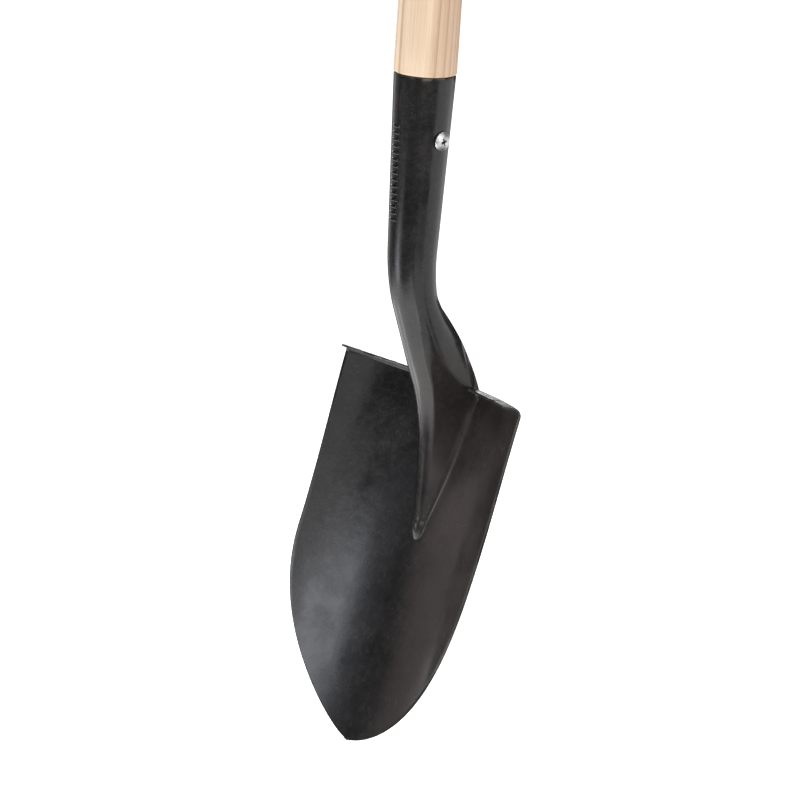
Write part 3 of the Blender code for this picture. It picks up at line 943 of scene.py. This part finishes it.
def screw_profile():
    """(radius, distance along the screw) from the middle of the head's dome to the point."""
    crown = SCREW_HEAD_RADIUS - SCREW_HEAD_ROUNDING
    profile = [(0, SCREW_HEAD_HEIGHT)]
    for i in range(1, DOME_ROWS + 1):
        radius = crown * i / DOME_ROWS
        drop = dome_radius() - sqrt(dome_radius() ** 2 - radius**2)
        profile.append((radius, SCREW_HEAD_HEIGHT - drop))
    edge_top = profile[-1][1]
    for share in (0.5, 1.0):
        angle = pi / 2 * share
        radius = crown + SCREW_HEAD_ROUNDING * sin(angle)
        profile.append((radius, edge_top - SCREW_HEAD_ROUNDING * (1 - cos(angle))))
    profile.append((SCREW_HEAD_RADIUS, 0))
    profile.append((SCREW_SHANK_RADIUS, 0))
    profile.append((SCREW_SHANK_RADIUS, SCREW_POINT - SCREW_LENGTH))
    profile.append((0, -SCREW_LENGTH))
    return profile


def cross_outline(long, short, height):
    """The corners of a cross with arms this long and half this wide, anticlockwise."""
    corners = []
    for quarter in range(4):
        turn = Matrix.Rotation(RECESS_TURN + quarter * pi / 2, 3, "Z")
        for corner in ((long, -short), (long, short), (short, short)):
            corners.append(turn @ Vector((*corner, height)))
    return corners


def recess():
    """The cross recess of the screw's head, narrower at its floor."""
    builder = bmesh.new()
    long, short = RECESS_HALF_LENGTH, RECESS_HALF_WIDTH
    top = cross_outline(long, short, SCREW_HEAD_HEIGHT + RECESS_ABOVE)
    long, short = long * RECESS_FLOOR_LENGTH, short * RECESS_FLOOR_WIDTH
    bottom = cross_outline(long, short, SCREW_HEAD_HEIGHT - RECESS_DEPTH)
    mouth = [builder.verts.new(point) for point in top]
    floor = [builder.verts.new(point) for point in bottom]
    builder.faces.new(mouth)
    builder.faces.new(floor[::-1])
    for i in range(len(mouth)):
        j = (i + 1) % len(mouth)
        builder.faces.new((mouth[i], floor[i], floor[j], mouth[j]))
    return builder


def make_screw(zinc):
    screw = add_object("zinc_screw", turned_piece(screw_profile(), SCREW_SEGMENTS), zinc)
    cut(screw, recess())
    screw.data.transform(along_screw(head_foot()))
    add_piece(screw, "zinc_plate", "socket_screw")


def add_floor():
    floor_surface = Surface("pale_floor")
    floor_surface.set("Base Color", (0.85, 0.85, 0.85, 1))
    floor_surface.set("Roughness", 0.9)
    floor_surface.set("Specular IOR Level", 0.0)
    floor_surface.set("Emission Color", (1, 1, 1, 1))
    floor_surface.set("Emission Strength", FLOOR_GLOW)
    builder = bmesh.new()
    bmesh.ops.create_circle(builder, cap_ends=True, segments=FLOOR_SEGMENTS, radius=FLOOR_RADIUS)
    floor = add_object("studio_floor", builder, floor_surface.material)
    floor.location = (0, 0, FLOOR_Z)
    floor.visible_glossy = False


def add_world():
    """White where the camera sees past the floor, and nearly dark for everything else."""
    world = bpy.data.worlds.new("studio")
    world.use_nodes = True
    nodes, links = world.node_tree.nodes, world.node_tree.links
    background = nodes["Background"]
    background.inputs["Color"].default_value = (1, 1, 1, 1)
    seen = nodes.new("ShaderNodeLightPath").outputs["Is Camera Ray"]
    brightness = nodes.new("ShaderNodeMapRange")
    links.new(seen, brightness.inputs["Value"])
    brightness.inputs["To Min"].default_value = WORLD_GLOW
    brightness.inputs["To Max"].default_value = 1.0
    links.new(brightness.outputs[0], background.inputs["Strength"])
    bpy.context.scene.world = world


def add_panel(name, azimuth, elevation, distance, width, height, watts, color=(1, 1, 1)):
    """A soft light that faces the middle of the head from this direction and isn't seen itself."""
    light = bpy.data.lights.new(name, "AREA")
    light.shape = "RECTANGLE"
    light.size, light.size_y = width, height
    light.energy = watts
    light.color = color
    panel = bpy.data.objects.new(name, light)
    bpy.context.scene.collection.objects.link(panel)
    azimuth, elevation = radians(azimuth), radians(elevation)
    out = Vector(
        (sin(azimuth) * cos(elevation), -cos(azimuth) * cos(elevation), sin(elevation))
    )
    panel.location = LIGHTS_AIM + out * distance
    panel.rotation_euler = out.to_track_quat("Z", "Y").to_euler()
    panel.visible_camera = False


def add_lights():
    """A small key light close by for the blade, and broad weak panels for the rest of the head."""
    # name, azimuth from -Y towards +X, elevation, distance, width, height, watts, tint if not white
    add_panel("blade_key", -20, -10, 0.45, 0.14, 0.14, 0.23, (0.97, 0.99, 1.07))
    add_panel("blade_key_right", -10, -10, 0.45, 0.14, 0.26, 0.075)
    add_panel("blade_key_left", -30, -10, 0.70, 0.24, 0.40, 0.085, (0.94, 0.98, 1.20))
    add_panel("front_strip", 6, 18, 1.00, 0.30, 0.44, 0.40)
    add_panel("right_box", 60, 12, 1.70, 1.00, 0.60, 6.4, (1.08, 0.98, 0.92))
    add_panel("high_left", -75, 55, 1.70, 1.10, 0.70, 12)
    add_panel("low_front", 5, -50, 1.60, 3.40, 1.10, 24)
    add_panel("low_left", -76, -36, 1.70, 1.40, 0.80, 6.5)
    add_panel("low_right", 88, -28, 1.70, 1.40, 0.80, 3.8)
    add_panel("left_box", -73, -1, 1.70, 0.80, 0.70, 0.52, (1.16, 0.95, 0.92))
    add_panel("left_edge", -92, -6, 1.70, 0.50, 1.00, 1.3)
    add_panel("right_sweep", 145, -8, 1.90, 3.00, 0.90, 8.0)
    add_panel("screw_high", 114, 18, 1.90, 1.10, 0.70, 6.0)
    add_panel("back_low", -165, -14, 1.90, 1.00, 0.60, 1.4)
    add_panel("tread_glow", -120, 17, 1.90, 2.00, 0.90, 26)


def main():
    bpy.context.scene.view_settings.view_transform = "Standard"
    add_camera()
    paint = black_paint()
    make_head(paint)
    make_bars(paint)
    make_shaft(ash_wood())
    make_screw(zinc_plate())
    add_floor()
    add_world()
    add_lights()


main()
